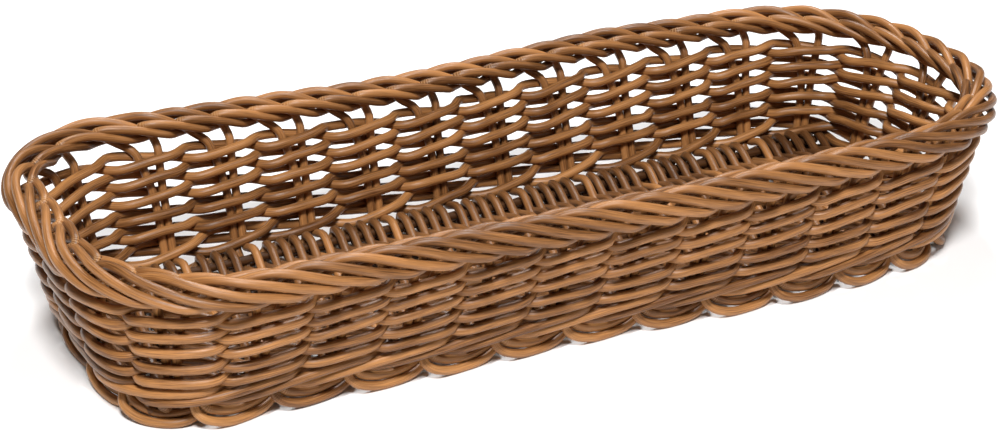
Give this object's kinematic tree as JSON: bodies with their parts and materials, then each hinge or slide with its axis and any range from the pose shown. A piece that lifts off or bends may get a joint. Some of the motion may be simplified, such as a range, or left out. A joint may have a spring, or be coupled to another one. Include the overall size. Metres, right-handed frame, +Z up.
{
  "type": "bread basket",
  "caption": "Long low woven basket in round plastic rattan, flared sides, rolled rim and scalloped foot; holds bread or baguettes on a table or buffet.",
  "frame": {"origin": "centre of the table plane that the foot stands on, under the middle of the basket", "axes": "+X along the basket's length, +Y across it to the back wall, +Z up through the open top"},
  "size_m": [0.5, 0.202, 0.086],
  "materials": {
    "border_strand": "satin, warm light brown, fine lengthwise grain",
    "wale_strand": "satin, warm brown, fine lengthwise grain",
    "stake_strand": "satin, warm brown, fine lengthwise grain",
    "base_strand": "satin, darker brown, fine lengthwise grain",
    "foot_strand": "satin, warm brown, pale stress lines at the tight bends"
  },
  "bodies": {
    "root": {"border": "border_strand", "wale_row_1": "wale_strand", "wale_row_2": "wale_strand", "wale_row_3": "wale_strand", "wale_row_4": "wale_strand", "wale_row_5": "wale_strand", "wale_row_6": "wale_strand", "foot_strand_outer": "foot_strand", "foot_strand_inner": "foot_strand", "stake_frame_1": "stake_strand", "stake_frame_2": "stake_strand", "stake_frame_3": "stake_strand", "stake_frame_4": "stake_strand", "stake_frame_5": "stake_strand", "stake_frame_6": "stake_strand", "stake_frame_7": "stake_strand", "stake_frame_8": "stake_strand", "stake_frame_9": "stake_strand", "stake_frame_10": "stake_strand", "end_frame": "stake_strand", "end_stake_front_right": "stake_strand", "corner_stake_front_right": "stake_strand", "end_stake_back_right": "stake_strand", "corner_stake_back_right": "stake_strand", "end_stake_back_left": "stake_strand", "corner_stake_back_left": "stake_strand", "end_stake_front_left": "stake_strand", "corner_stake_front_left": "stake_strand", "base_stick_front_outer": "base_strand", "base_stick_front_inner": "base_strand", "base_stick_back_inner": "base_strand", "base_stick_back_outer": "base_strand", "base_weave_1": "base_strand", "base_weave_2": "base_strand", "base_weave_3": "base_strand", "base_weave_4": "base_strand", "base_weave_5": "base_strand", "base_weave_6": "base_strand", "base_weave_7": "base_strand", "base_weave_8": "base_strand", "base_weave_9": "base_strand", "base_weave_10": "base_strand", "base_weave_11": "base_strand"}
  },
  "joints": []
}
